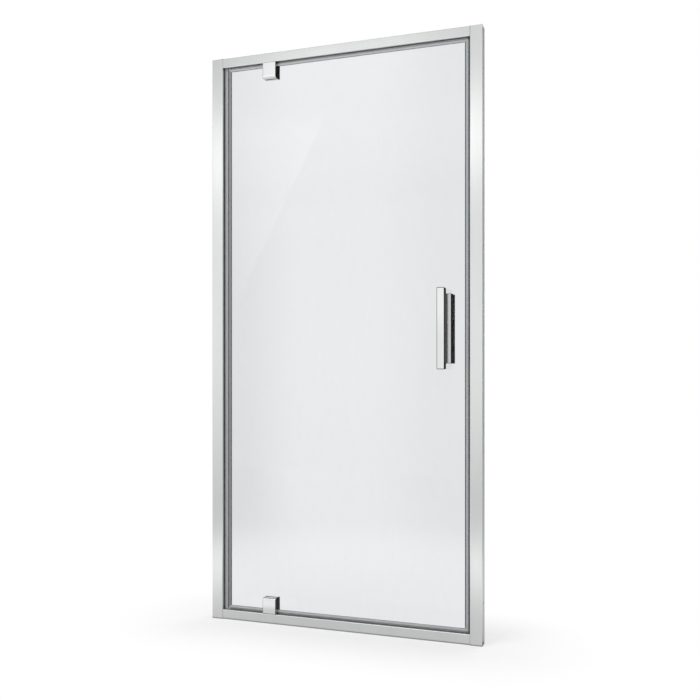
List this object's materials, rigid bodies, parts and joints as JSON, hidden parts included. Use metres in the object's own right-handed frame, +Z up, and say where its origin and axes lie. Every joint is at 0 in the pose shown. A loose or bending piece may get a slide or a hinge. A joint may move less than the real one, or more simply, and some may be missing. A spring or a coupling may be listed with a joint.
{
  "type": "pivot shower door",
  "caption": "Framed pivot shower door for an alcove: a polished metal frame with a clear glass leaf that swings on inset top and bottom pivots, with a bar handle.",
  "frame": {"origin": "middle of the sill's underside, halfway through the frame's depth", "axes": "+Z up along the posts, +X from the pivot side to the handle side, +Y from outside into the shower"},
  "size_m": [0.9, 0.083, 1.85],
  "materials": {
    "polished_aluminium": "bright polished, chrome look",
    "mill_aluminium": "mill finish",
    "chromed_metal": "polished chrome plate",
    "stainless_steel": "turned stainless steel",
    "clear_glass": "clear toughened glass, ground edges",
    "translucent_seal": "grey translucent PVC",
    "gasket": "soft clear-grey gasket",
    "magnet": "flexible magnet strip",
    "acetal": "white acetal",
    "zinc_casting": "zinc casting, plain",
    "brass": "machined brass"
  },
  "bodies": {
    "frame": {"corner_screws": "stainless_steel", "head_bush": "acetal", "head_housing": "zinc_casting", "head_housing_screws": "stainless_steel", "head_rail": "polished_aluminium", "hinge_gasket": "translucent_seal", "jamb_cap_left": "chromed_metal", "jamb_cap_right": "chromed_metal", "jamb_left": "polished_aluminium", "jamb_right": "polished_aluminium", "lock_screw_caps": "chromed_metal", "lock_screws": "stainless_steel", "sill_bush": "acetal", "sill_housing": "zinc_casting", "sill_housing_screws": "stainless_steel", "sill_rail": "polished_aluminium", "strike_magnet": "magnet", "strike_strip": "translucent_seal", "thrust_washer": "acetal", "wall_channel_left": "mill_aluminium", "wall_channel_right": "mill_aluminium"},
    "leaf": {"bottom_pivot_clamp_screws": "stainless_steel", "bottom_pivot_core": "brass", "bottom_pivot_inner_block": "chromed_metal", "bottom_pivot_inner_gasket": "gasket", "bottom_pivot_outer_block": "chromed_metal", "bottom_pivot_outer_gasket": "gasket", "bottom_pivot_pin": "stainless_steel", "bottom_seal_left": "translucent_seal", "bottom_seal_right": "translucent_seal", "glass_pane": "clear_glass", "grip_bar": "chromed_metal", "grip_screws": "stainless_steel", "handle_inner_block": "chromed_metal", "handle_inner_gasket": "gasket", "handle_outer_block": "chromed_metal", "handle_outer_gasket": "gasket", "handle_screws": "stainless_steel", "handle_sleeves": "acetal", "hinge_edge_seal": "translucent_seal", "strike_edge_magnet": "magnet", "strike_edge_seal": "translucent_seal", "top_pivot_clamp_screws": "stainless_steel", "top_pivot_core": "brass", "top_pivot_inner_block": "chromed_metal", "top_pivot_inner_gasket": "gasket", "top_pivot_outer_block": "chromed_metal", "top_pivot_outer_gasket": "gasket", "top_pivot_pin": "stainless_steel", "top_seal_left": "translucent_seal", "top_seal_right": "translucent_seal"}
  },
  "joints": [
    {"name": "leaf_swing", "type": "hinge", "parent": "frame", "child": "leaf", "pos_m": [-0.244, 0, 0.9], "axis": [0, 0, -1], "range_deg": [0, 100]}
  ]
}
